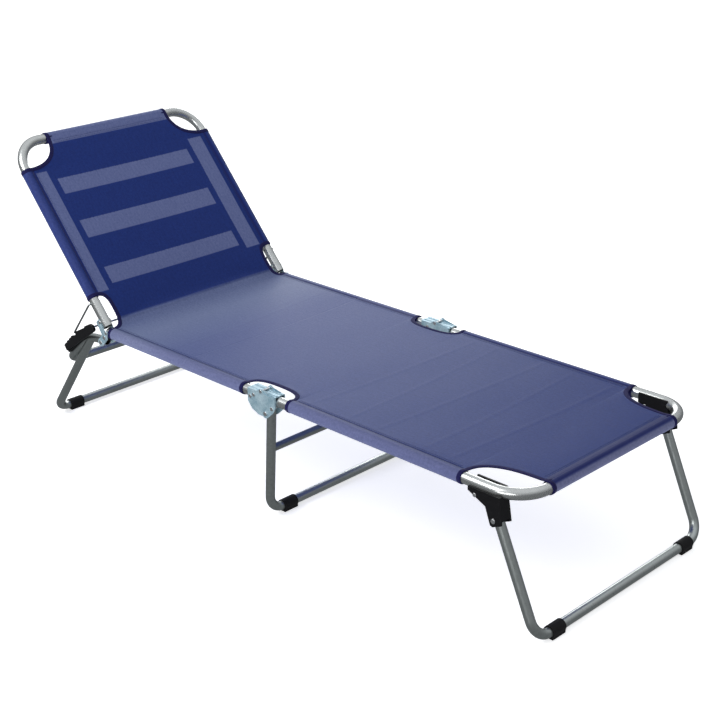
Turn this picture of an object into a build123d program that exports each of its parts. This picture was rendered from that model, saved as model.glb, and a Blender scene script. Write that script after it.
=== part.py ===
from build123d import *
import math
import os

# Folding three-leg sun lounger with a reclining backrest. Millimetres, +Z up, +X towards the foot end.
# Everything is drawn with x = 0 at the middle hinge and moved at the end, so that the origin lies on
# the floor under the middle of the lounger's length. "Left" is +Y, "right" is -Y.

# Frame
tube_radius = 12.5
tube_wall = 1.2
half_width = 290.0
tube_height = 305.5
frame_bend = 75.0
seat_back_x = -577.0
tube_gap = 16.0
foot_end_x = 730.0

# Backrest, in its raised working position
back_angle = 48.7
back_base_x = -573.0
back_tube_start = 18.5
back_length = 553.0
back_pivot = (-580.0, 296.0)

# Legs
leg_radius = 11.0
leg_wall = 1.2
leg_bend = 40.0
floor_axis_z = 14.5
leg_stub = 8.0
head_pivot = (-597.0, 279.0)
head_leg_top = (-660.0, 271.3)
head_floor_x = -852.0
bow_knee = (-668.0, 272.0)
bow_end = (-777.0, 176.0)
bow_knee_bend = 90.0
bow_corner_bend = 45.0
mid_pivot = (13.0, 272.0)
mid_floor_x = -5.0
mid_leg_half = 287.0
mid_crossbar_z = 177.0
crossbar_radius = 9.0
foot_pivot = (670.0, 247.0)
foot_floor_x = 773.0

# Rubber feet
foot_sleeve_radius = 13.8
foot_sole_half = 12.0
foot_centre_y = 230.0
foot_length = 40.0

# Hinge hardware
pin_radius = 3.0
pin_head_radius = 5.5
pin_head_height = 1.8
rivet_radius = 2.5
rivet_head_radius = 4.6
rivet_head_height = 1.4
hole_clearance = 0.06
fold_pin = (0.0, tube_height + 16.8)
fold_pin_radius = 2.5
stop_pin = (35.0, 290.2)
fold_gap = 3.2
plate_rivet = (-572.0, 310.0)
seat_bracket_rivets = [(-36.0, tube_height - 4.0), (-24.0, tube_height + 2.0)]
foot_hinge_rivets = [(24.0, tube_height - 2.0), (38.0, tube_height + 2.0)]
leg_bracket_rivet = (622.0, 287.5)
lug_rivet = (36.0, -2.0)

# Prop wire and its racks
wire_radius = 2.5
wire_y = 309.0
wire_bend = 6.0
wire_top = 88.0
wire_hook_y = 296.0
wire_foot = (-709.0, 275.0)
rack_inner_y = 306.9
rack_outer_y = 314.4
rack_rivet_places = [42.0, 84.0]
saddle_length = 66.0
saddle_inner_y = 283.0
saddle_top = 6.0

# Cover
cloth_gap = 0.3
cloth_thickness = 1.5
cloth_half = 288.0

base_down = (Align.CENTER, Align.CENTER, Align.MIN)

back_direction = (-math.cos(math.radians(back_angle)), math.sin(math.radians(back_angle)))
back_normal = (back_direction[1], -back_direction[0])


def back_point(along, out=0.0):
    """A point (x, z) of the raised backrest: along its tubes, and out of their plane to the front."""
    x = back_base_x + along * back_direction[0] + out * back_normal[0]
    z = tube_height + along * back_direction[1] + out * back_normal[1]
    return (x, z)


frame_x_low = back_point(back_length)[0] - tube_radius
frame_x_high = foot_floor_x + foot_sleeve_radius
frame_shift = -(frame_x_low + frame_x_high) / 2


def slab(sketch, y_low, y_high):
    """A solid with a profile drawn in X and Z, between two values of Y."""
    return extrude(Plane.XZ.offset(-y_low) * sketch, amount=y_low - y_high)


def disc(centre, radius):
    return Pos(centre[0], centre[1]) * Circle(radius)


def round_bar(centre, radius, y_low, y_high):
    """A round bar along Y through a point (x, z)."""
    return slab(disc(centre, radius), y_low, y_high)


def outline(*points):
    return make_face(Polyline(*points, close=True))


def hull(*shapes):
    """The convex outline round several flat shapes."""
    edges = [edge for shape in shapes for edge in shape.edges()]
    return make_hull(edges)


def swept(path, radius):
    start = Plane(origin=path @ 0, z_dir=path % 0)
    return sweep(start * Circle(radius), path=path)


def hollow(path, radius, wall):
    return swept(path, radius) - swept(path, radius - wall)


def u_path(side_points, half, radii):
    """A U-shaped route: one side's points (x, z) at +Y, across, and back along the other side."""
    left = [(x, half, z) for x, z in side_points]
    right = [(x, -half, z) for x, z in reversed(side_points)]
    return FilletPolyline(*left, *right, radius=radii + radii[::-1])


def both_sides(solid):
    return Compound(children=[solid, mirror(solid, about=Plane.XZ)])


def pin(centre, y_low, y_high, radius, head_radius, head_height):
    """A headed pin or rivet along Y; its heads sit outside y_low and y_high."""
    shank = round_bar(centre, radius, y_low, y_high)
    inner_head = round_bar(centre, head_radius, y_low - head_height, y_low)
    outer_head = round_bar(centre, head_radius, y_high, y_high + head_height)
    rims = [inner_head.edges().sort_by(Axis.Y)[0], outer_head.edges().sort_by(Axis.Y)[-1]]
    inner_head = fillet(rims[0], head_height * 0.6)
    outer_head = fillet(rims[1], head_height * 0.6)
    return shank + inner_head + outer_head


def pivot_pin(centre, y_low, y_high):
    return pin(centre, y_low, y_high, pin_radius, pin_head_radius, pin_head_height)


def rivet(centre, y_low, y_high):
    return pin(centre, y_low, y_high, rivet_radius, rivet_head_radius, rivet_head_height)


def drilled(solid, centre, radius, reach=400.0):
    """The solid with a hole along Y right through both of its sides."""
    return solid - round_bar(centre, radius + hole_clearance, -reach, reach)


def towards(start, end, distance):
    """The point at a distance from start on the line to end."""
    length = math.hypot(end[0] - start[0], end[1] - start[1])
    return tuple(a + (b - a) * distance / length for a, b in zip(start, end))


# Layers of flat hinge sheet, as distances from the middle plane of a side tube
lug_inner = tube_radius + 0.5
lug_outer = lug_inner + 2.0
plate_inner = lug_outer + 0.4
plate_outer = plate_inner + 2.0
tongue_inner = tube_radius + 0.3
tongue_outer = tongue_inner + 1.2
cheek_inner = tongue_outer + 0.3
cheek_outer = cheek_inner + 1.8
leg_cheek_inner = tube_radius
leg_cheek_outer = leg_cheek_inner + 4.0


def cheek_pair(sketch, inner, outer):
    """Two flat plates, one on each side of the left side tube."""
    outboard = slab(sketch, half_width + inner, half_width + outer)
    inboard = slab(sketch, half_width - outer, half_width - inner)
    return outboard + inboard


# Seat frame


def make_seat_tube():
    path = Polyline((seat_back_x, half_width, tube_height), (-tube_gap, half_width, tube_height))
    tube = hollow(path, tube_radius, tube_wall)
    tube = drilled(tube, plate_rivet, rivet_radius)
    for hole in seat_bracket_rivets:
        tube = drilled(tube, hole, rivet_radius)
    return tube


def make_end_plug():
    """Moulded plug: a spigot inside the tube and a round knuckle that carries the backrest's pin."""
    bore = tube_radius - tube_wall - hole_clearance
    spigot = Pos(seat_back_x, half_width, tube_height) * (Rot(0, 90, 0) * Cylinder(bore, 24.0, align=base_down))
    collar_path = Polyline((seat_back_x - 3.0, half_width, tube_height), (seat_back_x, half_width, tube_height))
    collar = swept(collar_path, tube_radius)
    knuckle = round_bar(back_pivot, 11.0, half_width - tube_radius, half_width + tube_radius)
    keep = Pos(seat_back_x - 20.0, half_width, tube_height) * Box(40.0, 60.0, 60.0)
    plug = spigot + collar + (knuckle & keep)
    plug = drilled(plug, back_pivot, pin_radius)
    return drilled(plug, plate_rivet, rivet_radius)


def back_plate_shape():
    shape = hull(disc(head_pivot, 10.0), disc(back_pivot, 10.0), disc(plate_rivet, 5.5))
    for hole in (head_pivot, back_pivot):
        shape -= disc(hole, pin_radius + hole_clearance)
    return shape - disc(plate_rivet, rivet_radius + hole_clearance)


def make_back_plate_outer():
    return slab(back_plate_shape(), half_width + plate_inner, half_width + plate_outer)


def make_back_plate_inner():
    return slab(back_plate_shape(), half_width - plate_outer, half_width - plate_inner)


def mid_bracket_shape():
    top = tube_height + tube_radius + 1.0
    plate = outline((-44, top), (-44, 287), (-30, 272), (-8, 263), (22, 265), (37, 279), (45, 291), (45, top))
    ear = hull(outline((-12, top), (12, top), (12, top - 3), (-12, top - 3)), disc(fold_pin, 5.5))
    shape = plate + ear + disc(mid_pivot, 11.0)
    shape -= disc(mid_pivot, pin_radius + hole_clearance)
    shape -= disc(fold_pin, fold_pin_radius + hole_clearance)
    shape -= disc(stop_pin, rivet_radius + hole_clearance)
    for hole in seat_bracket_rivets:
        shape -= disc(hole, rivet_radius + hole_clearance)
    return shape


def ridged_web(x_low, x_high, bead_low, bead_high, reach):
    """The pressed top of a hinge half, with two rounded ridges along it."""
    low = tube_height + tube_radius + 0.2
    web = Pos((x_low + x_high) / 2, half_width, low + 1.0) * Box(x_high - x_low, 2 * reach, 2.0)
    for side in (-7.0, 7.0):
        start = (bead_low, half_width + side, low + 1.4)
        end = (bead_high, half_width + side, low + 1.4)
        web += swept(Polyline(start, end), 2.2) & (Pos(0, half_width, low + 50.0) * Box(400, 60, 100))
    return web


def make_mid_bracket():
    """Pressed hinge half on the seat tube; it also carries the middle leg."""
    cheeks = cheek_pair(mid_bracket_shape(), cheek_inner, cheek_outer)
    wide = ridged_web(-44.0, -14.0, -42.0, -14.0, cheek_outer)
    neck = ridged_web(-14.0, -fold_gap, -14.0, -fold_gap, tongue_inner - 0.3)
    return cheeks + wide + neck


def make_seat_cloth():
    x_low = back_base_x + 25.0
    return cloth_slab(x_low, -12.0, [(x_low, 70.0, 60.0), (0.0, 80.0, 50.0)])


def cloth_slab(x_low, x_high, cutouts):
    """A flat piece of the cover on top of the side tubes, with a rounded cut-out at each hinge."""
    shape = Pos((x_low + x_high) / 2, 0) * Rectangle(x_high - x_low, 2 * cloth_half)
    for x, reach, depth in cutouts:
        for side in (-1, 1):
            shape -= Pos(x, side * cloth_half) * Ellipse(reach, depth)
    sheet = extrude(shape, amount=cloth_thickness)
    return Pos(0, 0, tube_height + tube_radius + cloth_gap) * sheet


# Backrest


def make_backrest_tube():
    side = [back_point(back_tube_start), back_point(back_length)]
    tube = hollow(u_path(side, half_width, [frame_bend]), tube_radius, tube_wall)
    tube = drilled(tube, back_point(*lug_rivet), rivet_radius)
    return drilled(tube, back_point(wire_top), wire_radius)


def make_backrest_lug():
    """Channel round the back of the tube's low end, reaching down to the hinge pin."""
    under = tube_radius + 0.2
    corners = [(20.0, -1.0), (44.0, -1.0), (44.0, -under - 2.0), (24.0, -under - 2.0)]
    tube_part = outline(*[back_point(along, out) for along, out in corners])
    cheek = hull(tube_part, disc(back_pivot, 9.0))
    lug = cheek_pair(cheek, lug_inner, lug_outer)
    web_corners = [(22.0, -under), (44.0, -under), (44.0, -under - 2.0), (22.0, -under - 2.0)]
    web = outline(*[back_point(along, out) for along, out in web_corners])
    lug += slab(web, half_width - lug_outer, half_width + lug_outer)
    lug = drilled(lug, back_pivot, pin_radius)
    return drilled(lug, back_point(*lug_rivet), rivet_radius)


def make_backrest_cloth():
    """The backrest's piece of the cover, lying on the front of its tubes."""
    x_low = 60.0
    x_high = back_length
    shape = Pos((x_low + x_high) / 2, 0) * Rectangle(x_high - x_low, 2 * cloth_half)
    for side in (-1, 1):
        shape -= Pos(x_high, side * cloth_half) * Circle(95.0)
        shape -= Pos(x_low, side * cloth_half) * Ellipse(50.0, 45.0)
    sheet = extrude(shape, amount=cloth_thickness)
    origin = back_point(0.0, tube_radius + cloth_gap)
    x_axis = (back_direction[0], 0, back_direction[1])
    z_axis = (back_normal[0], 0, back_normal[1])
    return Plane(origin=(origin[0], 0, origin[1]), x_dir=x_axis, z_dir=z_axis).location * sheet


# Prop wire


def make_prop_wire():
    """One bent wire: a hook into each backrest tube, two side rods and a cross rod on the racks."""
    top = back_point(wire_top)
    left = [(top[0], wire_hook_y, top[1]), (top[0], wire_y, top[1]), (wire_foot[0], wire_y, wire_foot[1])]
    right = [(x, -y, z) for x, y, z in reversed(left)]
    return swept(FilletPolyline(*left, *right, radius=wire_bend), wire_radius)


# Head leg


def head_leg_path():
    side = [head_leg_top, (head_floor_x, floor_axis_z)]
    return u_path(side, half_width, [leg_bend])


def bow_path():
    start = towards(head_pivot, bow_knee, -4.0)
    return u_path([start, bow_knee, bow_end], half_width, [bow_knee_bend, bow_corner_bend])


def make_support_bow():
    bow = hollow(bow_path(), leg_radius, leg_wall)
    for distance in rack_rivet_places:
        hole = rack_rivet_hole(distance)
        bow -= hole + mirror(hole, about=Plane.XZ)
    return drilled(bow, head_pivot, pin_radius)


def make_head_leg():
    """U-shaped leg whose upper ends are shaped to the bow's underside and welded there."""
    leg = hollow(head_leg_path(), leg_radius, leg_wall) - swept(bow_path(), leg_radius)
    return leg.solids().sort_by(SortBy.VOLUME)[-1]


def arm_upright(distance):
    """A place on the bow's left arm, at a distance from its knee, with Z square to the arm and upward."""
    slope = math.degrees(math.atan2(bow_knee[1] - bow_end[1], bow_knee[0] - bow_end[0]))
    point = towards(bow_knee, bow_end, distance)
    return Pos(point[0], half_width, point[1]) * Rot(0, -slope, 0)


def rack_rivet_hole(distance):
    """The hole for one blind rivet: through the rack's saddle and the top wall of the bow's tube."""
    return arm_upright(distance) * Cylinder(rivet_radius + hole_clearance, 2 * leg_radius + 8.0, align=base_down)


def make_rack():
    """Moulded rack: a stepped blade beside the arm and a saddle on the arm's top."""
    under = [(-742.0, 219.0), (-618.0, 303.0)]
    upper = [(-615.0, 307.0), (-615.0, 312.0), (-622.0, 319.0), (-633.0, 320.0), (-654.0, 309.0)]
    step = [(-657.0, 304.0), (-688.0, 288.0), (-695.0, 284.0), (-698.0, 274.0), (-706.0, 270.0)]
    notches = []
    for index in range(3):
        x, z = -718.0 - 10.0 * index, 266.0 - 9.4 * index
        notches += [(x, z), (x - 1.0, z - 4.0), (x - 4.0, z - 5.5)]
    tail = [(-749.0, 236.0), (-752.0, 231.0)]
    blade = slab(outline(*under, *upper, *step, *notches, *tail), rack_inner_y, rack_outer_y)
    blade = chamfer(blade.faces().sort_by(Axis.Y)[-1].edges(), 0.8)
    saddle_width = rack_inner_y + 0.8 - saddle_inner_y
    saddle_middle = saddle_inner_y + saddle_width / 2 - half_width
    saddle_shape = Pos(0, saddle_middle, leg_radius + saddle_top - 6.0) * Box(saddle_length, saddle_width, 12.0)
    saddle = arm_upright(sum(rack_rivet_places) / 2) * saddle_shape
    saddle -= swept(bow_path(), leg_radius + hole_clearance)
    rack = blade + saddle
    for distance in rack_rivet_places:
        rack -= rack_rivet_hole(distance)
    return rack


def make_rack_rivets():
    """Blind rivets: a domed head on the saddle, a shank, and a swollen tail inside the bow's tube."""
    head_low = leg_radius + saddle_top
    tail_low = leg_radius - 6.2
    rivets = []
    for distance in rack_rivet_places:
        shank = Pos(0, 0, tail_low) * Cylinder(rivet_radius, head_low - tail_low, align=base_down)
        tail = Pos(0, 0, tail_low) * Cylinder(rivet_radius + 0.7, 3.4, align=base_down)
        head = Pos(0, 0, head_low) * Cylinder(rivet_head_radius, rivet_head_height, align=base_down)
        head = fillet(head.edges().sort_by(Axis.Z)[-1], rivet_head_height * 0.6)
        rivets.append(arm_upright(distance) * (shank + tail + head))
    return Compound(children=rivets + [mirror(item, about=Plane.XZ) for item in rivets])


def foot_sleeve(x):
    """Rubber sleeve with a flat sole, pushed along the floor bar of a leg."""
    centre = Pos(x, foot_centre_y, floor_axis_z)
    ring = centre * (Rot(90, 0, 0) * Cylinder(foot_sleeve_radius, foot_length))
    sole = Pos(x, foot_centre_y, floor_axis_z / 2) * Box(2 * foot_sole_half, foot_length, floor_axis_z)
    bore = centre * (Rot(90, 0, 0) * Cylinder(leg_radius + hole_clearance, 2 * foot_length))
    body = ring + fillet(sole.edges().filter_by(Axis.Y).sort_by(Axis.Z)[:2], 2.0)
    return body - bore


# Middle leg


def mid_leg_path():
    top = towards(mid_pivot, (mid_floor_x, floor_axis_z), -leg_stub)
    return u_path([top, (mid_floor_x, floor_axis_z)], mid_leg_half, [leg_bend])


def make_mid_leg():
    return drilled(hollow(mid_leg_path(), leg_radius, leg_wall), mid_pivot, pin_radius)


def make_mid_crossbar():
    """Thinner tube between the two sides of the middle leg, shaped to them and welded."""
    share = (mid_pivot[1] - mid_crossbar_z) / (mid_pivot[1] - floor_axis_z)
    x = mid_pivot[0] + (mid_floor_x - mid_pivot[0]) * share
    path = Polyline((x, mid_leg_half, mid_crossbar_z), (x, -mid_leg_half, mid_crossbar_z))
    return hollow(path, crossbar_radius, leg_wall) - swept(mid_leg_path(), leg_radius)


# Foot frame


def foot_tube_path():
    return u_path([(tube_gap, tube_height), (foot_end_x, tube_height)], half_width, [frame_bend])


def make_foot_tube():
    tube = hollow(foot_tube_path(), tube_radius, tube_wall)
    for hole in foot_hinge_rivets:
        tube = drilled(tube, hole, rivet_radius)
    return tube


def make_foot_hinge():
    """Pressed hinge half on the foot tube, which folds up out of the seat's half."""
    low = tube_height - tube_radius + 1.0
    high = tube_height + tube_radius + 1.0
    side = outline((14.0, low), (46.0, low), (46.0, high), (14.0, high))
    cheek = hull(side, disc(fold_pin, 5.0)) - disc(fold_pin, fold_pin_radius + hole_clearance)
    for hole in foot_hinge_rivets:
        cheek -= disc(hole, rivet_radius + hole_clearance)
    return cheek_pair(cheek, tongue_inner, tongue_outer) + ridged_web(fold_gap, 46.0, fold_gap, 44.0, tongue_outer)


def make_foot_cloth():
    return cloth_slab(12.0, foot_end_x, [(0.0, 80.0, 50.0), (foot_end_x - 60.0, 100.0, 75.0)])


def make_leg_bracket():
    """Moulded bracket under the foot tube; the leg swings in the slot between its cheeks."""
    top = tube_height - 4.0
    points = [(604, top), (604, 293), (649, 272), (662, 236), (668, 233), (690, 243), (684, top)]
    cheek = outline(*points)
    outer = slab(cheek, half_width + leg_cheek_inner, half_width + leg_cheek_outer)
    raised = outline((604, top + 14), *points[1:-1], (678, top + 14))
    inner = slab(raised, half_width - leg_cheek_outer, half_width - leg_cheek_inner)
    block = slab(cheek, half_width - leg_cheek_inner, half_width + leg_cheek_inner)
    slot = Pos(650, half_width, 276 - 100) * Box(300, 80, 200)
    wall = outline((685.8, 250), (689.2, 250), (686.2, 280), (682.8, 280))
    front = slab(wall, half_width - leg_cheek_inner, half_width + leg_cheek_inner)
    bracket = outer + inner + (block - slot) + front
    bracket -= swept(foot_tube_path(), tube_radius + hole_clearance)
    bracket = drilled(bracket, foot_pivot, pin_radius)
    return drilled(bracket, leg_bracket_rivet, rivet_radius)


# Foot leg


def make_foot_leg():
    top = towards(foot_pivot, (foot_floor_x, floor_axis_z), -leg_stub)
    path = u_path([top, (foot_floor_x, floor_axis_z)], half_width, [leg_bend])
    return drilled(hollow(path, leg_radius, leg_wall), foot_pivot, pin_radius)


# Pins and rivets, each group on both sides


def side_pins(maker, centres, reach):
    pins = [maker(centre, half_width - reach, half_width + reach) for centre in centres]
    return Compound(children=pins + [mirror(item, about=Plane.XZ) for item in pins])


def flush_rivet(centre, y_low, y_high):
    """A rivet with no standing heads, because it slides between the outer cheeks."""
    return round_bar(centre, rivet_radius, y_low, y_high)


def fold_pivot(centre, y_low, y_high):
    return pin(centre, y_low, y_high, fold_pin_radius, rivet_head_radius, rivet_head_height)


def write_parts():
    paired = {
        "seat_tube": make_seat_tube(),
        "seat_end_plug": make_end_plug(),
        "back_hinge_plate_outer": make_back_plate_outer(),
        "back_hinge_plate_inner": make_back_plate_inner(),
        "mid_bracket": make_mid_bracket(),
        "backrest_lug": make_backrest_lug(),
        "bail_rack": make_rack(),
        "foot_hinge": make_foot_hinge(),
        "foot_leg_bracket": make_leg_bracket(),
    }
    single = {
        "seat_cloth": make_seat_cloth(),
        "back_plate_rivets": side_pins(rivet, [plate_rivet], plate_outer),
        "backrest_pivot_pins": side_pins(pivot_pin, [back_pivot], plate_outer),
        "head_leg_pivot_pins": side_pins(pivot_pin, [head_pivot], plate_outer),
        "mid_bracket_rivets": side_pins(rivet, seat_bracket_rivets, cheek_outer),
        "mid_stop_pins": side_pins(rivet, [stop_pin], cheek_outer),
        "fold_hinge_pins": side_pins(fold_pivot, [fold_pin], cheek_outer),
        "mid_leg_pivot_pins": side_pins(pivot_pin, [mid_pivot], cheek_outer),
        "backrest_tube": make_backrest_tube(),
        "backrest_lug_rivets": side_pins(rivet, [back_point(*lug_rivet)], lug_outer),
        "backrest_cloth": make_backrest_cloth(),
        "prop_wire": make_prop_wire(),
        "head_leg": make_head_leg(),
        "support_bow": make_support_bow(),
        "rack_rivets": make_rack_rivets(),
        "head_leg_feet": both_sides(foot_sleeve(head_floor_x)),
        "mid_leg": make_mid_leg(),
        "mid_leg_crossbar": make_mid_crossbar(),
        "mid_leg_feet": both_sides(foot_sleeve(mid_floor_x)),
        "foot_tube": make_foot_tube(),
        "foot_hinge_rivets": side_pins(flush_rivet, foot_hinge_rivets, tongue_outer),
        "foot_cloth": make_foot_cloth(),
        "foot_bracket_rivets": side_pins(rivet, [leg_bracket_rivet], leg_cheek_outer),
        "foot_leg_pivot_pins": side_pins(pivot_pin, [foot_pivot], leg_cheek_outer),
        "foot_leg": make_foot_leg(),
        "foot_leg_feet": both_sides(foot_sleeve(foot_floor_x)),
    }
    for name, solid in paired.items():
        single[name + "_left"] = solid
        single[name + "_right"] = mirror(solid, about=Plane.XZ)
    os.makedirs("parts", exist_ok=True)
    for name, solid in single.items():
        export_step(Pos(frame_shift, 0, 0) * solid, f"parts/{name}.step")


write_parts()
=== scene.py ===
import math

import bmesh
import bpy
import numpy as np
from mathutils import Matrix, Vector


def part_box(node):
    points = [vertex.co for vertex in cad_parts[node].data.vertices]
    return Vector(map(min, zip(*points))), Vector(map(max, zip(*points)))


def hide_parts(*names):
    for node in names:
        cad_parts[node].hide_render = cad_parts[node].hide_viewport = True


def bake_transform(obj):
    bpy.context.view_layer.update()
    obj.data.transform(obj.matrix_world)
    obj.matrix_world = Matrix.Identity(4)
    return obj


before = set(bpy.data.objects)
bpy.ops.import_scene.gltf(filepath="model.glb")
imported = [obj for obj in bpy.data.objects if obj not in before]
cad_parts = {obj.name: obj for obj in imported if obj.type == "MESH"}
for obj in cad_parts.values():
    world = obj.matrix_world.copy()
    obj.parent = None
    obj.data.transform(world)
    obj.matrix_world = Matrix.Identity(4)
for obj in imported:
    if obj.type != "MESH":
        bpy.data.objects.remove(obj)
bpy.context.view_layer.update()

# A folding sun lounger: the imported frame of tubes, hinges and legs, dressed with one long mesh cover.
# Metres, +X towards the foot end, +Z up, "left" is +Y. Places come from the boxes of the CAD nodes, and
# the backrest's angle and lengths are the ones that its tube was drawn with.

# Tubes that the cover is sewn round
tube_low, tube_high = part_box("seat_tube_left")
tube_radius = (tube_high.z - tube_low.z) / 2
tube_height = (tube_high.z + tube_low.z) / 2
half_width = (tube_high.y + tube_low.y) / 2
fold_x = (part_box("fold_hinge_pins")[0].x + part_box("fold_hinge_pins")[1].x) / 2
foot_bar_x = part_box("foot_tube")[1].x - tube_radius
fold_to_back_base = 0.573
back_base_x = fold_x - fold_to_back_base
back_length = 0.553
back_angle = math.radians(48.7)

# Cover. "along" is 0 in the corner between seat and backrest, negative up the backrest and positive
# towards the foot; "across" is y.
cloth_thickness = 0.0012
cover_weld = 0.00008
fine_weld = 0.00001
cloth_clearance = 0.0011
cloth_rise = tube_radius + cloth_clearance
seam_inset = 0.010
seam_dip = 0.0022
sleeve_turns = (104.0, -200.0)
sleeve_steps = 34
sleeve_return = (0.0096, 0.0017)
shortest_sleeve = 0.001
panel_columns = 121
row_pitch = 0.005
close_rows = 14
close_share = 0.5
close_power = 2.2
rows_past_end = (0.002, 0.004)
closest_rows = 0.00025
crease_reach_mid = 0.046
crease_reach_edge = 0.012
crease_reach_tube = crease_reach_edge * 0.2
crease_eases_over = 0.15
bar_bend_reach = 0.001
split_at = 0.290
same_place = 1e-9

# Cut-outs in the cover: middle along the cover, reach along it, depth from the tube's middle, roundness
corner_offset = cloth_rise * math.tan(back_angle / 2)
corner_x = back_base_x - corner_offset * math.cos(back_angle) + cloth_rise * math.sin(back_angle)
cover_top = corner_offset - back_length
cover_end = foot_bar_x - corner_x
mid_cut_offset = 0.005
cutouts = {
    "head": (cover_top, 0.086, 0.103, 2.4),
    "back": (-0.048, 0.0535, 0.039, 3.0),
    "mid": (fold_x + mid_cut_offset - corner_x, 0.080, 0.047, 2.8),
    "foot": (cover_end, 0.157, 0.084, 2.6),
}

# Unevenness of the stretched cloth: how high, and how wide or how far from an edge it fades in
ripple_height = 0.0009
sag_depth = 0.0045
sag_reach, dip_reach, ripple_reach = 0.15, 0.02, 0.03
mark_height, mark_width = 0.0005, 0.004
ridge_place, ridge_height, ridge_width = -0.020, 0.0013, 0.0035
ridge_wander, ridge_wander_rate = 0.004, 11

# Old fold lines across the cover: place along it and slant
fold_marks = [(0.70, 0.05), (0.79, -0.04), (0.90, 0.06), (1.01, -0.03), (1.10, 0.05), (0.20, -0.05)]

# Where the cover bends: beside the backrest's hinge, and on either side of the fold
crease_zone = (-0.050, 0.002)
fold_zone_half = 0.060

# Paler double-layer bands on the backrest, as distances from the hinge along the tubes
band_rows = [(0.431, 0.386), (0.306, 0.255), (0.168, 0.121)]
band_half = 0.212
side_band = (0.231, 0.276)
side_band_rows = (0.458, 0.107)
top_band_row = 0.529
band_shift = 0.012
band_limit = 0.275
band_edge = 0.0012
past_head = 1.0


def edge_of_cover(along):
    """Half the width of the flat part of the cover, at a distance along it."""
    width = half_width - seam_inset
    for middle, reach, depth, power in cutouts.values():
        share = abs(along - middle) / reach
        if share < 1:
            width = min(width, half_width - depth * (1 - share**power) ** (1 / power))
    return width


def cut_end(name, side):
    """Where a cut-out meets the side sleeve, before it (-1) or after it (+1)."""
    middle, reach, depth, power = cutouts[name]
    return middle + side * reach * (1 - (seam_inset / depth) ** power) ** (1 / power)


def smooth_step(value):
    """0 below 0, 1 above 1, and a soft rise between."""
    value = min(1.0, max(0.0, value))
    return value * value * (3 - 2 * value)


def profile(along, reach):
    """Point (x, z) and upward normal of the cover's middle line; the corner is rounded over reach."""
    height = tube_height + cloth_rise
    if along >= reach:
        return (corner_x + along, height), (0.0, 1.0)
    if along <= -reach:
        x = corner_x + along * math.cos(back_angle)
        z = height - along * math.sin(back_angle)
        return (x, z), (math.sin(back_angle), math.cos(back_angle))
    turn = back_angle * (reach - along) / (2 * reach)
    radius = reach / math.tan(back_angle / 2)
    x = corner_x + reach - radius * math.sin(turn)
    z = height + radius * (1 - math.cos(turn))
    return (x, z), (math.sin(turn), math.cos(turn))


def ripple(along, across):
    """Small uneven waves that a stretched mesh keeps from being folded."""
    wave = 0.5 * math.sin(9.0 * along + 1.3) * math.sin(7.0 * across + 0.4)
    wave += 0.3 * math.sin(23.0 * along - 11.0 * across)
    wave += 0.2 * math.sin(41.0 * along + 17.0 * across + 2.0)
    return wave * ripple_height


def cover_height(along, across):
    """How far the cover's flat part stands off its middle line."""
    width = edge_of_cover(along)
    inner = 1 - min(1.0, abs(across) / width) ** 2
    to_bar = min(along - cover_top, cover_end - along)
    sag = sag_depth * inner * smooth_step(to_bar / sag_reach)
    dip = seam_dip * smooth_step(to_bar / dip_reach)
    waves = ripple(along, across) * smooth_step(to_bar / ripple_reach) * smooth_step(inner * 6)
    height = -dip - sag + waves
    for mark, slant in fold_marks:
        away = (along - mark - slant * across) / mark_width
        height += mark_height * math.exp(-away * away) * smooth_step(inner * 4)
    ridge = (along - ridge_place + ridge_wander * math.sin(ridge_wander_rate * across)) / ridge_width
    height += ridge_height * math.exp(-ridge * ridge) * smooth_step(inner * 3)
    return height


def cover_point(along, across, lift=0.0):
    """A point of the cover's flat part, lifted off it, and its normal."""
    inner = smooth_step((half_width - abs(across)) / crease_eases_over)
    reach = crease_reach_edge + (crease_reach_mid - crease_reach_edge) * inner
    (x, z), (nx, nz) = profile(along, reach)
    height = cover_height(along, across) + lift
    return Vector((x + nx * height, across, z + nz * height)), Vector((nx, 0, nz))


def sleeve_section(lift=0.0):
    """The sleeve's section from the seam outward round a tube: (outward, up, length) from its axis."""
    start, stop = (math.radians(angle) for angle in sleeve_turns)
    radius = cloth_rise + lift
    section = [(-seam_inset, cloth_rise - seam_dip + lift)]
    for step in range(sleeve_steps + 1):
        angle = start + (stop - start) * step / sleeve_steps
        section.append((radius * math.cos(angle), radius * math.sin(angle)))
    back, under = sleeve_return
    section.append((-back, cloth_rise - seam_dip - under - lift))
    lengths = [0.0]
    for (y0, z0), (y1, z1) in zip(section, section[1:]):
        lengths.append(lengths[-1] + math.hypot(y1 - y0, z1 - z0))
    return [(y, z, length) for (y, z), length in zip(section, lengths)]


def side_sleeve_point(along, side, out, up):
    """A point of the side sleeve, placed from the tube's axis."""
    (x, z), (nx, nz) = profile(along, crease_reach_tube)
    offset = up - cloth_rise
    return Vector((x + nx * offset, side * (half_width + out), z + nz * offset)), Vector((nx, 0, nz))


def bar_point(end, across, out, up):
    """A point of the sleeve on the head bar (-1) or the foot bar (+1)."""
    along = cover_top if end < 0 else cover_end
    (x, z), (nx, nz) = profile(along, bar_bend_reach)
    offset = up - cloth_rise
    forward = Vector((nz, 0, -nx)) * end
    return Vector((x, across, z)) + Vector((nx, 0, nz)) * offset + forward * out


def holds(low, high, place):
    """Whether a length of the cover, ends included, holds a place."""
    return low - same_place <= place <= high + same_place


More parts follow.
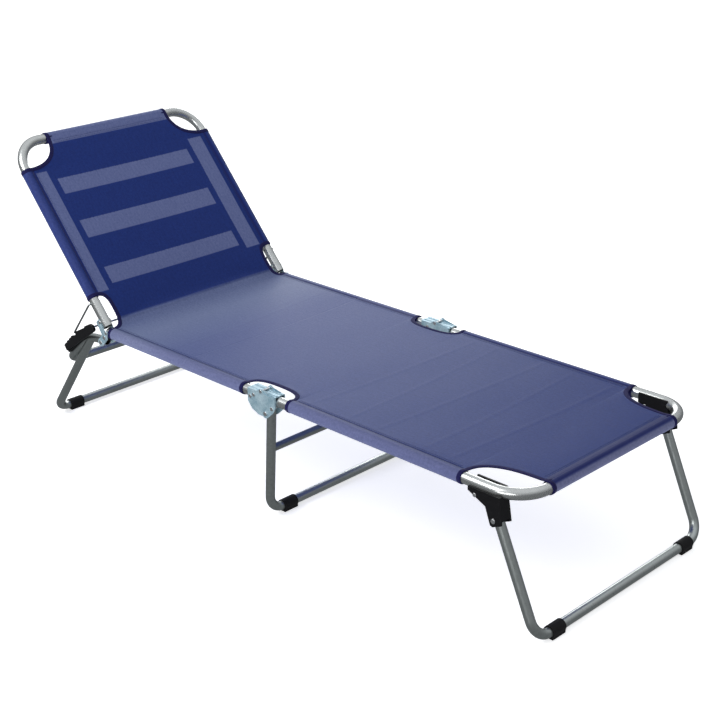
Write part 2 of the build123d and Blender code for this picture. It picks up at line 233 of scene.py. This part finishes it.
def row_places(low, high):
    """Places of the mesh rows along the cover, closer together at the ends of the cut-outs."""
    places = list(np.arange(low, high, row_pitch)) + [high]
    for name, (_, reach, _, _) in cutouts.items():
        for side in (-1, 1):
            end = cut_end(name, side)
            places.append(end)
            steps = [(step / close_rows) ** close_power for step in range(1, close_rows + 1)]
            places += [end - side * reach * close_share * step for step in steps]
            places += [end + side * step for step in rows_past_end]
    places = sorted(place for place in places if holds(low, high, place))
    kept = [places[0]]
    for place in places[1:]:
        if place - kept[-1] > closest_rows:
            kept.append(place)
    return kept


def sleeve_ranges(low, high):
    """The stretches of a side that carry a sleeve, between the cut-outs."""
    ends = [
        (cut_end("head", 1), cut_end("back", -1)),
        (cut_end("back", 1), cut_end("mid", -1)),
        (cut_end("mid", 1), cut_end("foot", -1)),
    ]
    found = [(max(low, a), min(high, b)) for a, b in ends]
    return [(a, b) for a, b in found if b - a > shortest_sleeve]


class Patch:
    """Grid faces with cloth coordinates, gathered into one mesh."""

    def __init__(self):
        self.points = []
        self.places = []
        self.faces = []

    def grid(self, rows, flip=False):
        """rows is a list of equally long lists of (point, (along, across))."""
        first = len(self.points)
        width = len(rows[0])
        for row in rows:
            for point, place in row:
                self.points.append(point)
                self.places.append(place)
        for r in range(len(rows) - 1):
            for c in range(width - 1):
                a = first + r * width + c
                face = (a, a + width, a + width + 1, a + 1)
                self.faces.append(face[::-1] if flip else face)

    def build(self, name, merge):
        """The object, with its cloth coordinates in the layer "cloth" and near vertices joined."""
        mesh = bpy.data.meshes.new(name)
        mesh.from_pydata([tuple(p) for p in self.points], [], self.faces)
        layer = mesh.uv_layers.new(name="cloth")
        loops = np.zeros(len(mesh.loops), np.int32)
        mesh.loops.foreach_get("vertex_index", loops)
        layer.data.foreach_set("uv", np.array(self.places, np.float32)[loops].ravel())
        obj = bpy.data.objects.new(name, mesh)
        bpy.context.scene.collection.objects.link(obj)
        weld(obj, merge)
        return obj


def weld(obj, distance):
    """Joins vertices that lie on each other and smooths the shading."""
    work = bmesh.new()
    work.from_mesh(obj.data)
    bmesh.ops.remove_doubles(work, verts=work.verts, dist=distance)
    work.to_mesh(obj.data)
    work.free()
    obj.data.polygons.foreach_set("use_smooth", [True] * len(obj.data.polygons))


def panel_row(along):
    """Evenly spaced places across the flat part of the cover, from one cut edge to the other."""
    width = edge_of_cover(along)
    return [width * (2 * column / (panel_columns - 1) - 1) for column in range(panel_columns)]


def panel_rows(low, high):
    """The flat part of one length of the cover."""
    rows = []
    for along in row_places(low, high):
        rows.append([(cover_point(along, across)[0], (along, across)) for across in panel_row(along)])
    return rows


def bar_sleeve_rows(end, first_row):
    """The sleeve on the head bar (-1) or the foot bar (+1), begun from the flat part's last row."""
    bar = cover_top if end < 0 else cover_end
    rows = [first_row]
    for out, up, length in sleeve_section()[1:]:
        travelled = bar + end * (length - seam_inset)
        rows.append([(bar_point(end, across, out, up), (travelled, across)) for across in panel_row(bar)])
    return rows


def side_sleeve_rows(start, stop, side):
    """The sleeve round one side tube, between two cut-outs."""
    rows = []
    for along in row_places(start, stop):
        seam = cover_point(along, side * (half_width - seam_inset))[0]
        row = [(seam, seam_place(along, side, 0.0))]
        for out, up, length in sleeve_section()[1:]:
            point = side_sleeve_point(along, side, out, up)[0]
            row.append((point, seam_place(along, side, length)))
        rows.append(row)
    return rows


def seam_place(along, side, length):
    """Cloth coordinates of a point that lies a length of cloth outside the side seam."""
    return (along, side * (half_width - seam_inset + length))


def make_cover(name, low, high):
    """One length of the cover, with its side sleeves and, at either end, the sleeve on the bar."""
    patch = Patch()
    panel = panel_rows(low, high)
    patch.grid(panel)
    for end, bar in ((-1, cover_top), (1, cover_end)):
        if holds(low, high, bar):
            patch.grid(bar_sleeve_rows(end, panel[0] if end < 0 else panel[-1]), flip=end < 0)
    for start, stop in sleeve_ranges(low, high):
        for side in (-1, 1):
            patch.grid(side_sleeve_rows(start, stop, side), flip=side < 0)
    cover = patch.build(name, cover_weld)
    thicken(cover, cloth_thickness)
    return cover


def thicken(obj, thickness):
    """Gives the cloth its thickness, with shading that follows the larger faces."""
    solid = obj.modifiers.new("cloth", "SOLIDIFY")
    solid.thickness = thickness
    solid.offset = 0.0
    shading = obj.modifiers.new("shading", "WEIGHTED_NORMAL")
    shading.keep_sharp = True


# Binding tape round the cut-outs

tape_half = 0.0054
tape_thickness = 0.0016
tape_shift = 0.0036
tape_corners = 16
tape_pitch = 0.002
tape_roundness = (0.7, 0.8)


def loop_round_sleeve(points_at):
    """Points and normals round a sleeve's end, from under the seam over the tube to the seam."""
    path = []
    section = sleeve_section()
    for (y0, z0, _), (y1, z1, _) in zip(reversed(section[1:]), reversed(section[:-1])):
        for share in (0.0, 0.5):
            path.append(points_at(y0 + (y1 - y0) * share, z0 + (z1 - z0) * share))
    return path


def tape_path(name, side):
    """The cut edge of one cut-out: a list of (point, outward normal)."""
    before, after = cut_end(name, -1), cut_end(name, 1)
    middle = cutouts[name][0]
    low = before if name != "head" else middle
    high = after if name != "foot" else middle

    def on_side(along):
        def place(out, up):
            point, normal = side_sleeve_point(along, side, out, up)
            round_it = Vector((0, side * out, 0)) + normal * up
            return point, round_it.normalized()

        return place

    def on_bar(end, along):
        across = side * edge_of_cover(along)

        def place(out, up):
            point = bar_point(end, across, out, up)
            _, (nx, nz) = profile(along, bar_bend_reach)
            round_it = Vector((nx, 0, nz)) * up + Vector((nz, 0, -nx)) * end * out
            return point, round_it.normalized()

        return place

    first = on_bar(-1, low) if name == "head" else on_side(low)
    last = on_bar(1, high) if name == "foot" else on_side(high)
    path = loop_round_sleeve(first)
    for along in row_places(low, high):
        path.append(cover_point(along, side * edge_of_cover(along)))
    path += list(reversed(loop_round_sleeve(last)))
    return path


def evenly(path, pitch):
    """The path resampled at an even pitch, with its normals, and eased a little at its corners."""
    points = np.array([tuple(p) for p, _ in path])
    normals = np.array([tuple(n) for _, n in path])
    steps = np.linalg.norm(np.diff(points, axis=0), axis=1)
    keep = np.concatenate([[True], steps > 1e-6])
    points, normals = points[keep], normals[keep]
    length = np.concatenate([[0], np.cumsum(np.linalg.norm(np.diff(points, axis=0), axis=1))])
    at = np.linspace(0, length[-1], max(8, int(length[-1] / pitch)))
    points = np.stack([np.interp(at, length, points[:, i]) for i in range(3)], axis=1)
    normals = np.stack([np.interp(at, length, normals[:, i]) for i in range(3)], axis=1)
    for _ in range(2):
        points[1:-1] = (points[:-2] + 2 * points[1:-1] + points[2:]) / 4
        normals[1:-1] = (normals[:-2] + 2 * normals[1:-1] + normals[2:]) / 4
    normals /= np.linalg.norm(normals, axis=1)[:, None]
    return at, points, normals


def rounded(value, power):
    """A sine or cosine raised to a power with its sign kept, which squares off a round section."""
    return math.copysign(abs(value) ** power, value)


def make_tape(name, cut, side):
    """Folded binding tape along one cut edge."""
    at, points, normals = evenly(tape_path(cut, side), tape_pitch)
    along = np.gradient(points, axis=0)
    along /= np.linalg.norm(along, axis=1)[:, None]
    inward = np.cross(normals, along) * side
    patch = Patch()
    rows = []
    for place, point, normal, into in zip(at, points, normals, inward):
        row = []
        for corner in range(tape_corners + 1):
            angle = 2 * math.pi * corner / tape_corners
            wide = tape_half * rounded(math.cos(angle), tape_roundness[0])
            thick = tape_thickness * rounded(math.sin(angle), tape_roundness[1])
            spot = point + into * (wide + tape_shift) + normal * thick
            row.append((Vector(spot), (place, wide)))
        rows.append(row)
    patch.grid(rows)
    return patch.build(name, fine_weld)


# Stitching

stitch_length = 0.0034
stitch_gap = 0.0016
stitch_radius = 0.00045
stitch_stands = 0.6
stitch_swell = ((0.0, 0.15), (0.15, 0.8), (0.5, 1.0), (0.85, 0.8), (1.0, 0.15))
stitch_corners = 6
side_stitch_insets = (0.003, 0.008)
bar_stitch_insets = (0.016, 0.021)
stitch_clear_of_tape = 0.008
stitch_clear_on_bar = 0.009


def stitch(patch, start, stop, normal):
    """One thread stitch lying on the cloth: a short bar, thick in its middle."""
    along = (stop - start).normalized()
    across = normal.cross(along)
    rows = []
    for share, swell in stitch_swell:
        centre = start + (stop - start) * share
        row = []
        for corner in range(stitch_corners + 1):
            angle = 2 * math.pi * corner / stitch_corners
            reach = stitch_radius * swell
            spot = centre + (across * math.cos(angle) + normal * math.sin(angle)) * reach
            row.append((spot, (share, angle)))
        rows.append(row)
    patch.grid(rows)


def stitch_line(patch, place, low, high):
    """Stitches at an even pitch; place(distance) gives a point on the cloth and its normal."""
    distance = low
    while distance + stitch_length < high:
        start, normal = place(distance)
        stop, _ = place(distance + stitch_length)
        stitch(patch, start, stop, normal)
        distance += stitch_length + stitch_gap


def make_stitching(name, low, high):
    """The two rows of stitches along the inside of each side sleeve and each bar sleeve."""
    patch = Patch()
    lift = cloth_thickness / 2 + stitch_radius * stitch_stands
    for start, stop in sleeve_ranges(low, high):
        for side in (-1, 1):
            for inset in side_stitch_insets:
                across = side * (half_width - seam_inset - inset)
                first, last = start + stitch_clear_of_tape, stop - stitch_clear_of_tape
                if start == low or stop == high:
                    first, last = start + stitch_gap / 2, stop - stitch_gap / 2
                stitch_line(patch, lambda place: cover_point(place, across, lift), first, last)
    for end, bar in ((-1, cover_top), (1, cover_end)):
        if holds(low, high, bar):
            for inset in bar_stitch_insets:
                along = bar - end * inset
                reach = edge_of_cover(along) - stitch_clear_on_bar
                stitch_line(patch, lambda place: cover_point(along, place, lift), -reach, reach)
    return patch.build(name, fine_weld)


# Materials


class Nodes:
    """Short calls for making a material's nodes."""

    def __init__(self, name):
        self.material = bpy.data.materials.new(name)
        self.material.use_nodes = True
        self.tree = self.material.node_tree
        self.tree.nodes.clear()
        self.shader = self.add("ShaderNodeBsdfPrincipled")
        output = self.add("ShaderNodeOutputMaterial")
        self.tree.links.new(self.shader.outputs["BSDF"], output.inputs["Surface"])

    def add(self, kind, **values):
        """A new node with these settings."""
        node = self.tree.nodes.new(kind)
        for key, value in values.items():
            setattr(node, key, value)
        return node

    def feed(self, socket, value):
        """Links a socket to another node's output, or sets it to a number or colour."""
        if isinstance(value, bpy.types.NodeSocket):
            self.tree.links.new(value, socket)
        elif value is not None:
            socket.default_value = value

    def math(self, operation, first, second=None, clamp=False):
        node = self.add("ShaderNodeMath", operation=operation, use_clamp=clamp)
        self.feed(node.inputs[0], first)
        self.feed(node.inputs[1], second)
        return node.outputs[0]

    def noise(self, vector, scale, detail, roughness, stretch=None):
        """Cloudy noise between 0 and 1, drawn out along the axes where stretch is small."""
        if stretch is not None:
            mapping = self.add("ShaderNodeMapping")
            self.feed(mapping.inputs["Vector"], vector)
            mapping.inputs["Scale"].default_value = stretch
            vector = mapping.outputs[0]
        node = self.add("ShaderNodeTexNoise")
        self.feed(node.inputs["Vector"], vector)
        node.inputs["Scale"].default_value = scale
        node.inputs["Detail"].default_value = detail
        node.inputs["Roughness"].default_value = roughness
        return node.outputs["Fac"]

    def ramp(self, value, low, high, to_low=0.0, to_high=1.0):
        """A straight rise from to_low at low to to_high at high, level outside them."""
        node = self.add("ShaderNodeMapRange")
        self.feed(node.inputs["Value"], value)
        limits = {"From Min": low, "From Max": high, "To Min": to_low, "To Max": to_high}
        for key, number in limits.items():
            node.inputs[key].default_value = number
        return node.outputs["Result"]

    def mix(self, share, first, second):
        """The first colour at share 0, the second at share 1."""
        node = self.add("ShaderNodeMix", data_type="RGBA")
        self.feed(node.inputs["Factor"], share)
        self.feed(node.inputs[6], first if not isinstance(first, tuple) else (*first, 1.0))
        self.feed(node.inputs[7], second if not isinstance(second, tuple) else (*second, 1.0))
        return node.outputs[2]

    def bump(self, height, distance, strength=1.0):
        """Raises the surface's shading by height, scaled to a distance in metres."""
        node = self.add("ShaderNodeBump")
        node.inputs["Strength"].default_value = strength
        node.inputs["Distance"].default_value = distance
        self.feed(node.inputs["Height"], height)
        self.feed(self.shader.inputs["Normal"], node.outputs[0])

    def between(self, value, low, high, soft):
        """1 where value lies between low and high, with soft edges."""
        away = self.math("ABSOLUTE", self.math("SUBTRACT", value, (low + high) / 2))
        half = abs(high - low) / 2
        return self.ramp(away, half + soft, half - soft)

    def set(self, **values):
        """Feeds the shader's inputs, named with underscores for spaces."""
        for key, value in values.items():
            socket = self.shader.inputs[key.replace("_", " ")]
            if isinstance(value, tuple) and len(value) == 3:
                value = (*value, 1.0)
            self.feed(socket, value)

    def place(self):
        """The object's own coordinates, in metres."""
        return self.add("ShaderNodeTexCoord").outputs["Object"]


def make_metal(name, colour, dark, roughness, stretch, grain=0.00004):
    """Drawn or pressed metal: fine lines along it, faint cloudy handling marks, slightly dull spots."""
    made = Nodes(name)
    place = made.place()
    lines = made.noise(place, scale=420.0, detail=4.0, roughness=0.6, stretch=stretch)
    clouds = made.noise(place, scale=9.0, detail=4.0, roughness=0.6)
    spots = made.noise(place, scale=160.0, detail=2.0, roughness=0.5)
    wear = made.math("MULTIPLY", made.ramp(clouds, 0.35, 0.7), made.ramp(spots, 0.3, 0.8))
    made.set(Base_Color=made.mix(wear, colour, dark), Metallic=1.0)
    along_lines = made.ramp(lines, 0.3, 0.7, roughness - 0.05, roughness + 0.09)
    made.set(Roughness=made.math("ADD", along_lines, made.math("MULTIPLY", wear, 0.10)))
    made.bump(lines, grain)
    return made.material


def make_zinc(name):
    """Zinc-plated pressed sheet: bluish, with soft crystalline patches and cloudy dullness."""
    made = Nodes(name)
    place = made.place()
    cells = made.add("ShaderNodeTexVoronoi", feature="SMOOTH_F1")
    made.feed(cells.inputs["Vector"], place)
    cells.inputs["Scale"].default_value = 260.0
    patches = made.ramp(cells.outputs["Distance"], 0.1, 0.7)
    clouds = made.noise(place, scale=30.0, detail=4.0, roughness=0.6)
    cloudy = made.ramp(clouds, 0.36, 0.66, 0.0, 0.65)
    share = made.math("ADD", made.math("MULTIPLY", patches, 0.40), cloudy, True)
    made.set(Base_Color=made.mix(share, (0.22, 0.37, 0.46), (0.55, 0.70, 0.77)), Metallic=0.55)
    made.set(Roughness=made.ramp(clouds, 0.3, 0.7, 0.30, 0.48))
    made.bump(patches, 0.00003)
    return made.material


def make_plastic(name, colour, roughness, pebble, pebble_scale):
    """Moulded plastic or rubber: a fine pebbled skin with scuffs and paler dust in places."""
    made = Nodes(name)
    place = made.place()
    skin = made.noise(place, scale=pebble_scale, detail=2.0, roughness=0.5)
    scuffs = made.noise(place, scale=70.0, detail=5.0, roughness=0.7, stretch=(1.0, 1.0, 4.0))
    dust = made.ramp(scuffs, 0.55, 0.8)
    made.set(Base_Color=made.mix(made.math("MULTIPLY", dust, 0.12), colour, (0.08, 0.08, 0.09)))
    made.set(Roughness=made.ramp(scuffs, 0.3, 0.75, roughness - 0.06, roughness + 0.14))
    made.set(Specular_IOR_Level=0.22)
    made.bump(skin, pebble)
    return made.material


weave_pitch = 0.0021
cloth_dark = (0.002, 0.013, 0.105)
cloth_light = (0.010, 0.034, 0.212)
# Paler backrest bands; the same colours also give the painted sheen along the seat
band_and_sheen_dark = (0.070, 0.092, 0.225)
band_and_sheen_light = (0.150, 0.180, 0.360)
# Painted sheen: the seat painted palest next to the crease
crease_sheen_dark = (0.126, 0.158, 0.280)
crease_sheen_light = (0.265, 0.310, 0.450)
# Paler cloth over the tubes: partly the doubled cloth over the tube, partly a painted highlight
sleeve_and_highlight_dark = (0.095, 0.105, 0.205)
sleeve_and_highlight_light = (0.205, 0.215, 0.360)
# Painted shadow for the seam creases and the foot hem
seam_shadow_colour = (0.005, 0.008, 0.085)

# Where the cloth's colour changes: round the tubes (partly painted highlight), along the seat (painted
# sheen), and at the seams (painted shadow)
seam_at = half_width - seam_inset
# Where the sleeves and the bars' fronts turn paler, partly a painted highlight
sleeve_front = (seam_at + 0.006, seam_at + 0.012)
cover_half_length = (cover_end - cover_top) / 2
bar_front = (cover_half_length + 0.008, cover_half_length + 0.014)
# Painted sheen on the seat: where it starts at the crease, where it is palest, and where it fades towards
# the foot
sheen_starts = (-0.026, -0.016)
palest_sheen_part = (0.24, 0.03)
sheen_fades_from = 0.16
# Painted shadow beside the side seams and over the foot hem
side_seam = (seam_at - 0.002, seam_at + 0.005)
foot_hem = (cover_end - 0.014, cover_end + 0.010)


def weave(made, along, across):
    """1 on the tops of the yarns, 0 between them."""
    turn = 2 * math.pi / weave_pitch
    warp = made.math("SINE", made.math("MULTIPLY", along, turn))
    weft = made.math("SINE", made.math("MULTIPLY", across, turn))
    return made.ramp(made.math("MULTIPLY", warp, weft), -1.0, 1.0)


def lightness(made, yarn, mottle, streak):
    """How light the cloth is in each place, from its yarns, its mottle and long faint streaks."""
    speckle = made.math("MULTIPLY", made.ramp(mottle, 0.3, 0.7), 0.55)
    light = made.math("ADD", made.math("MULTIPLY", yarn, 0.30), speckle)
    streaks = made.math("MULTIPLY", made.math("SUBTRACT", streak, 0.5), 0.5)
    return made.math("ADD", light, streaks, True)


def tube_and_highlight_share(made, along, aside):
    """How far the cloth takes the paler colour over a tube: partly the doubled cloth over the tube,
    partly a painted highlight on the sleeves and on the bars' fronts.
    """
    sleeve = made.ramp(aside, *sleeve_front)
    sleeve = made.math("MULTIPLY", sleeve, made.ramp(along, -0.09, 0.0, 0.12, 0.60))
    from_middle = made.math("SUBTRACT", along, (cover_top + cover_end) / 2)
    on_bar = made.ramp(made.math("ABSOLUTE", from_middle), *bar_front)
    return made.math("MAXIMUM", sleeve, made.math("MULTIPLY", on_bar, 0.85))


def painted_seat_sheen(made, along):
    """How much painted sheen makes the seat paler than the backrest, fading out towards the foot."""
    at_crease = made.ramp(along, *sheen_starts, 0.0, 0.6)
    from_crease = made.math("ADD", at_crease, made.ramp(along, 0.0, 0.08, 0.0, 0.4))
    return made.math("MULTIPLY", from_crease, made.ramp(along, cover_end, sheen_fades_from, 0.0, 0.86))


def seam_shade(made, along, aside):
    """How much painted shadow darkens the cloth in the creases beside the side seams and over the foot
    hem.
    """
    seam = made.between(aside, *side_seam, 0.0012)
    hem = made.between(along, *foot_hem, 0.0025)
    return made.math("MULTIPLY", made.math("MAXIMUM", seam, hem), 0.8)


def make_cloth(name):
    """Coated mesh: plain weave of round yarns, mottled colour, and paler double-layer bands, with painted
    sheen on the seat, partly painted highlight over the tubes and painted shadow at the seams.
    """
    made = Nodes(name)
    layer = made.add("ShaderNodeUVMap", uv_map="cloth")
    split = made.add("ShaderNodeSeparateXYZ")
    made.feed(split.inputs[0], layer.outputs[0])
    along, across = split.outputs[0], split.outputs[1]
    aside = made.math("ABSOLUTE", across)
    yarn = weave(made, along, across)
    mottle = made.noise(layer.outputs[0], scale=170.0, detail=4.0, roughness=0.75)
    streak = made.noise(layer.outputs[0], scale=30.0, detail=4.0, roughness=0.6, stretch=(1.0, 6.0, 1.0))
    light = lightness(made, yarn, mottle, streak)
    wobble = made.math("MULTIPLY", made.math("SUBTRACT", mottle, 0.5), 0.004)
    bands = band_mask(made, made.math("ADD", along, wobble), made.math("ADD", across, wobble))
    # Band colour, also used below for the painted sheen on the seat
    paler = made.mix(light, band_and_sheen_dark, band_and_sheen_light)
    # Painted sheen, palest next to the crease
    palest_sheen = made.mix(light, crease_sheen_dark, crease_sheen_light)
    seat = made.mix(made.ramp(along, *palest_sheen_part), paler, palest_sheen)
    colour = made.mix(bands, made.mix(light, cloth_dark, cloth_light), paler)
    # Painted sheen makes the seat paler, fading out towards the foot
    colour = made.mix(painted_seat_sheen(made, along), colour, seat)
    # Paler over the tubes: partly the doubled cloth, partly a painted highlight
    colour = made.mix(tube_and_highlight_share(made, along, aside), colour, made.mix(light, sleeve_and_highlight_dark, sleeve_and_highlight_light))
    # Painted shadow beside the side seams and over the foot hem
    colour = made.mix(seam_shade(made, along, aside), colour, seam_shadow_colour)
    made.set(Base_Color=colour, Roughness=made.ramp(yarn, 0.0, 1.0, 0.62, 0.44))
    made.set(Specular_IOR_Level=0.18)
    made.set(Sheen_Weight=0.24, Sheen_Roughness=0.36, Sheen_Tint=(0.60, 0.72, 0.98))
    made.bump(made.math("ADD", yarn, made.math("MULTIPLY", bands, 0.8)), 0.00022, 0.7)
    return made.material


def band_mask(made, along, across):
    """1 on the paler bands of the backrest."""
    soft = band_edge
    kept = made.ramp(made.math("ABSOLUTE", across), band_limit + soft, band_limit - soft)
    across = made.math("ADD", across, band_shift)
    aside = made.math("ABSOLUTE", across)
    inside = made.between(across, -band_half, band_half, soft)
    mask = made.between(along, corner_offset - past_head, corner_offset - top_band_row, soft)
    for high, low in band_rows:
        bar = made.between(along, corner_offset - high, corner_offset - low, soft)
        mask = made.math("MAXIMUM", mask, made.math("MULTIPLY", bar, inside))
    high, low = side_band_rows
    column = made.between(along, corner_offset - high, corner_offset - low, soft)
    beside = made.between(aside, side_band[0], side_band[1], soft)
    beside = made.math("MULTIPLY", made.math("MULTIPLY", column, beside), kept)
    return made.math("MAXIMUM", mask, beside)


twill_pitch = 0.0014


def make_tape_cloth(name, colour, pale):
    """Twill binding tape: close diagonal ribs."""
    made = Nodes(name)
    layer = made.add("ShaderNodeUVMap", uv_map="cloth")
    split = made.add("ShaderNodeSeparateXYZ")
    made.feed(split.inputs[0], layer.outputs[0])
    slant = made.math("ADD", split.outputs[0], split.outputs[1])
    rib = made.ramp(made.math("SINE", made.math("MULTIPLY", slant, 2 * math.pi / twill_pitch)), -1.0, 1.0)
    mottle = made.noise(made.place(), scale=300.0, detail=3.0, roughness=0.6)
    share = made.math("MULTIPLY", rib, mottle)
    made.set(Base_Color=made.mix(share, colour, pale), Roughness=0.7)
    made.set(Specular_IOR_Level=0.2, Sheen_Weight=0.12, Sheen_Roughness=0.4, Sheen_Tint=(0.4, 0.4, 0.9))
    made.bump(rib, 0.00015)
    return made.material


def paint(names, material):
    """Puts one material on the CAD nodes of these names."""
    for name in names:
        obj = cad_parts[name]
        obj.data.materials.clear()
        obj.data.materials.append(material)


def paint_frame():
    """Gives every CAD node that stays in view its own finish."""
    sides = ("_left", "_right")
    along_x, along_z, across_y = (0.03, 1.0, 1.0), (1.0, 1.0, 0.03), (1.0, 0.03, 1.0)
    bright, grey = (0.74, 0.76, 0.75), (0.50, 0.52, 0.52)
    frame_tube = make_metal("drawn_tube", bright, grey, 0.24, along_x)
    leg_tube = make_metal("leg_tube", (0.55, 0.59, 0.58), (0.40, 0.43, 0.42), 0.30, along_z)
    cross_tube = make_metal("cross_tube", (0.46, 0.49, 0.48), (0.32, 0.34, 0.33), 0.30, across_y)
    wire = make_metal("zinc_wire", (0.42, 0.45, 0.45), (0.28, 0.30, 0.30), 0.30, along_z)
    rivet = make_metal("rivet_steel", (0.82, 0.83, 0.84), (0.6, 0.6, 0.62), 0.22, (1.0, 1.0, 1.0))
    zinc = make_zinc("zinc_plate")
    black = make_plastic("black_moulding", (0.004, 0.004, 0.005), 0.36, 0.00006, 900.0)
    rubber = make_plastic("foot_rubber", (0.007, 0.007, 0.008), 0.60, 0.00012, 500.0)
    paint(["seat_tube" + s for s in sides] + ["backrest_tube", "foot_tube"], frame_tube)
    paint(["head_leg", "support_bow", "mid_leg", "foot_leg"], leg_tube)
    paint(["mid_leg_crossbar"], cross_tube)
    paint(["prop_wire"], wire)
    paint([n + s for n in ("back_hinge_plate_outer", "back_hinge_plate_inner") for s in sides], zinc)
    paint([n + s for n in ("mid_bracket", "foot_hinge", "backrest_lug") for s in sides], zinc)
    paint([n + s for n in ("seat_end_plug", "bail_rack", "foot_leg_bracket") for s in sides], black)
    paint(["head_leg_feet", "mid_leg_feet", "foot_leg_feet"], rubber)
    paint([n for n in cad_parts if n.endswith("rivets") or n.endswith("pins")], rivet)


# Cover pieces


def flat_area(low, high):
    """The cut area: the flat part between its cut edges, the side sleeves and the bar sleeve."""
    round_tube = sleeve_section()[-1][2]
    places = row_places(low, high)
    area = sum((b - a) * (edge_of_cover(a) + edge_of_cover(b)) for a, b in zip(places, places[1:]))
    area += sum(2 * (b - a) * round_tube for a, b in sleeve_ranges(low, high))
    for bar in (cover_top, cover_end):
        if holds(low, high, bar):
            area += 2 * edge_of_cover(bar) * (round_tube - seam_inset)
    return area


def dress_cover():
    """The cover in two lengths that meet edge to edge across the seat."""
    cloth = make_cloth("mesh_cloth")
    tape = make_tape_cloth("binding_tape", (0.003, 0.003, 0.045), (0.009, 0.008, 0.10))
    thread = make_tape_cloth("thread", (0.010, 0.016, 0.085), (0.03, 0.04, 0.17))
    fold_middle = cutouts["mid"][0]
    fold_zone = (fold_middle - fold_zone_half, fold_middle + fold_zone_half)
    lengths = {
        "back": (cover_top, split_at, ("backrest", "seat_frame"), crease_zone),
        "front": (split_at, cover_end, ("seat_frame", "foot_frame"), fold_zone),
    }
    for part, (low, high, bodies, zone) in lengths.items():
        start, end = (cover_point(place, 0.0)[0] for place in zone)
        cover = make_cover(f"cover_{part}", low, high)
        stitches = make_stitching(f"cover_stitching_{part}", low, high)
        dressed = [(cover, cloth), (stitches, thread)]
        for cut in ("head", "back") if part == "back" else ("mid", "foot"):
            for side, word in ((1, "left"), (-1, "right")):
                dressed.append((make_tape(f"binding_{cut}_{word}", cut, side), tape))
        for obj, material in dressed:
            obj.data.materials.append(material)
            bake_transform(obj)
        flat_area(low, high)
        if part == "back":
            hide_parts("backrest_cloth", "seat_cloth")
        else:
            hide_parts("foot_cloth")


# Studio

camera_place = Vector((2.3204, -2.2531, 1.6086))
camera_turn = math.radians(44.7)
camera_drop = math.radians(22.3)
camera_roll = math.radians(-0.67)
camera_lens = 72.65
sensor_width = 36.0
floor_size = 60.0
floor_glow = 0.60

# Where the world's two colours lie between the horizon and straight above
world_low = (0.04, (0.26, 0.27, 0.28, 1))
world_high = (0.85, (0.95, 0.97, 1.0, 1))
world_strength = 0.70


def make_camera():
    """The view that the frame's proportions were solved from."""
    data = bpy.data.cameras.new("camera")
    data.lens = camera_lens
    data.sensor_width = sensor_width
    data.clip_start, data.clip_end = 0.05, 100.0
    camera = bpy.data.objects.new("camera", data)
    bpy.context.scene.collection.objects.link(camera)
    turn = Matrix.Rotation(camera_turn, 4, "Z") @ Matrix.Rotation(math.pi / 2 - camera_drop, 4, "X")
    turn = turn @ Matrix.Rotation(camera_roll, 4, "Z")
    camera.matrix_world = Matrix.Translation(camera_place) @ turn
    bpy.context.scene.camera = camera


def make_floor():
    """A white floor that glows a little and stays out of mirrored light."""
    bpy.ops.mesh.primitive_plane_add(size=floor_size, location=(0, 0, 0))
    floor = bpy.context.object
    floor.name = "floor"
    made = Nodes("floor")
    made.set(Base_Color=(0.93, 0.93, 0.93), Roughness=0.85, Specular_IOR_Level=0.1)
    made.set(Emission_Color=(1.0, 1.0, 1.0), Emission_Strength=floor_glow)
    floor.visible_glossy = False
    floor.data.materials.append(made.material)


def make_light(name, place, aim, size, power):
    """A white area light that faces a point."""
    data = bpy.data.lights.new(name, "AREA")
    data.shape = "RECTANGLE"
    data.size, data.size_y = size
    data.energy = power
    light = bpy.data.objects.new(name, data)
    light.location = place
    light.rotation_mode = "QUATERNION"
    light.rotation_quaternion = (Vector(aim) - Vector(place)).to_track_quat("-Z", "Y")
    bpy.context.scene.collection.objects.link(light)


def make_studio():
    """Pale room with a bright ceiling and a greyer horizon, which the tubes mirror."""
    world = bpy.data.worlds.new("studio")
    bpy.context.scene.world = world
    world.use_nodes = True
    nodes, links = world.node_tree.nodes, world.node_tree.links
    nodes.clear()
    place = nodes.new("ShaderNodeTexCoord")
    split = nodes.new("ShaderNodeSeparateXYZ")
    ramp = nodes.new("ShaderNodeValToRGB")
    back = nodes.new("ShaderNodeBackground")
    output = nodes.new("ShaderNodeOutputWorld")
    links.new(place.outputs["Generated"], split.inputs[0])
    links.new(split.outputs[2], ramp.inputs[0])
    links.new(ramp.outputs[0], back.inputs["Color"])
    links.new(back.outputs[0], output.inputs["Surface"])
    for element, (position, colour) in zip(ramp.color_ramp.elements, (world_low, world_high)):
        element.color = colour
        element.position = position
    back.inputs["Strength"].default_value = world_strength
    make_light("key", place=(-1.2, -2.6, 3.2), aim=(0.0, 0.0, 0.3), size=(2.0, 2.0), power=75.0)
    make_light("rear", place=(-2.3, 2.5, 1.4), aim=(-0.3, 0.0, 0.3), size=(2.2, 1.2), power=30.0)
    make_light("side", place=(1.2, -3.2, 1.0), aim=(0.2, 0.0, 0.2), size=(2.4, 0.9), power=22.0)


make_camera()
make_floor()
make_studio()
paint_frame()
dress_cover()
bpy.context.scene.view_settings.view_transform = "Standard"
